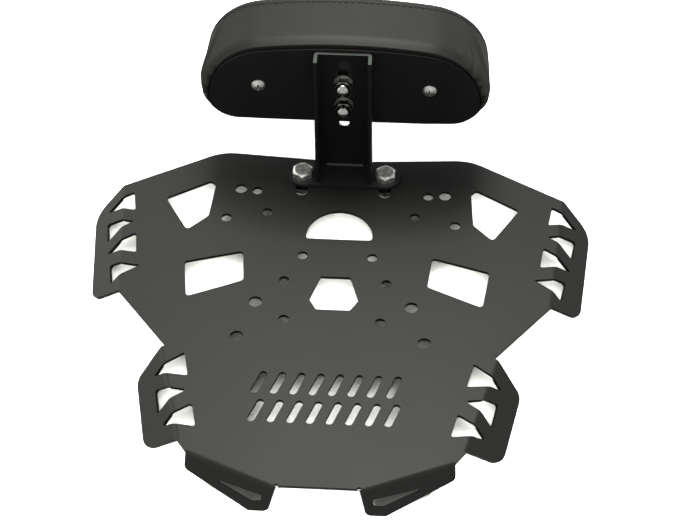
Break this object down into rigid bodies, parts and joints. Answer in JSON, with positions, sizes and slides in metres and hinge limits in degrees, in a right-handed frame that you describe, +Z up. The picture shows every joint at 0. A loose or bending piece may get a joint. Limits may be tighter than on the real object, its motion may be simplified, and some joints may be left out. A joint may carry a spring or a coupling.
{
  "type": "luggage rack with backrest",
  "caption": "Folded sheet luggage rack for a motorbike tail, with trussed drop-down edges, strap windows and mounting holes, and a padded backrest clamped in slots on a folded upright",
  "frame": {"origin": "on the deck's underside, midway between the middle pair of mounting holes", "axes": "+X to the rider's right, +Y forwards to the rider, +Z up"},
  "size_m": [0.4432, 0.4385, 0.1764],
  "materials": {
    "deck_coat": "satin",
    "bracket_coat": "satin",
    "plated_steel": "satin",
    "board": "matte",
    "foam": "matte",
    "cover": "satin"
  },
  "bodies": {
    "rack": {"rack_plate": "deck_coat"},
    "bracket": {"foot_plate": "bracket_coat", "upright_channel": "bracket_coat", "foot_weld": "bracket_coat", "clamp_bolt_left": "plated_steel", "clamp_bolt_right": "plated_steel", "clamp_washer_left": "plated_steel", "clamp_washer_right": "plated_steel", "clamp_nut_left": "plated_steel", "clamp_nut_right": "plated_steel"},
    "pad": {"backrest_plate": "bracket_coat", "pad_bolt_lower": "plated_steel", "pad_bolt_upper": "plated_steel", "pad_washer_lower": "plated_steel", "pad_washer_upper": "plated_steel", "cap_nut_lower": "plated_steel", "cap_nut_upper": "plated_steel", "pad_screw_left": "plated_steel", "pad_screw_right": "plated_steel", "tee_nut_left": "plated_steel", "tee_nut_right": "plated_steel", "pad_board": "board", "foam_core": "foam", "pad_cover": "cover"}
  },
  "joints": [
    {"name": "foot_slide", "type": "slide", "parent": "rack", "child": "bracket", "axis": [0, 1, 0], "range_m": [-0.018, 0]},
    {"name": "pad_slide", "type": "slide", "parent": "bracket", "child": "pad", "axis": [0, 0, 1], "range_m": [-0.0263, 0.0191]}
  ]
}
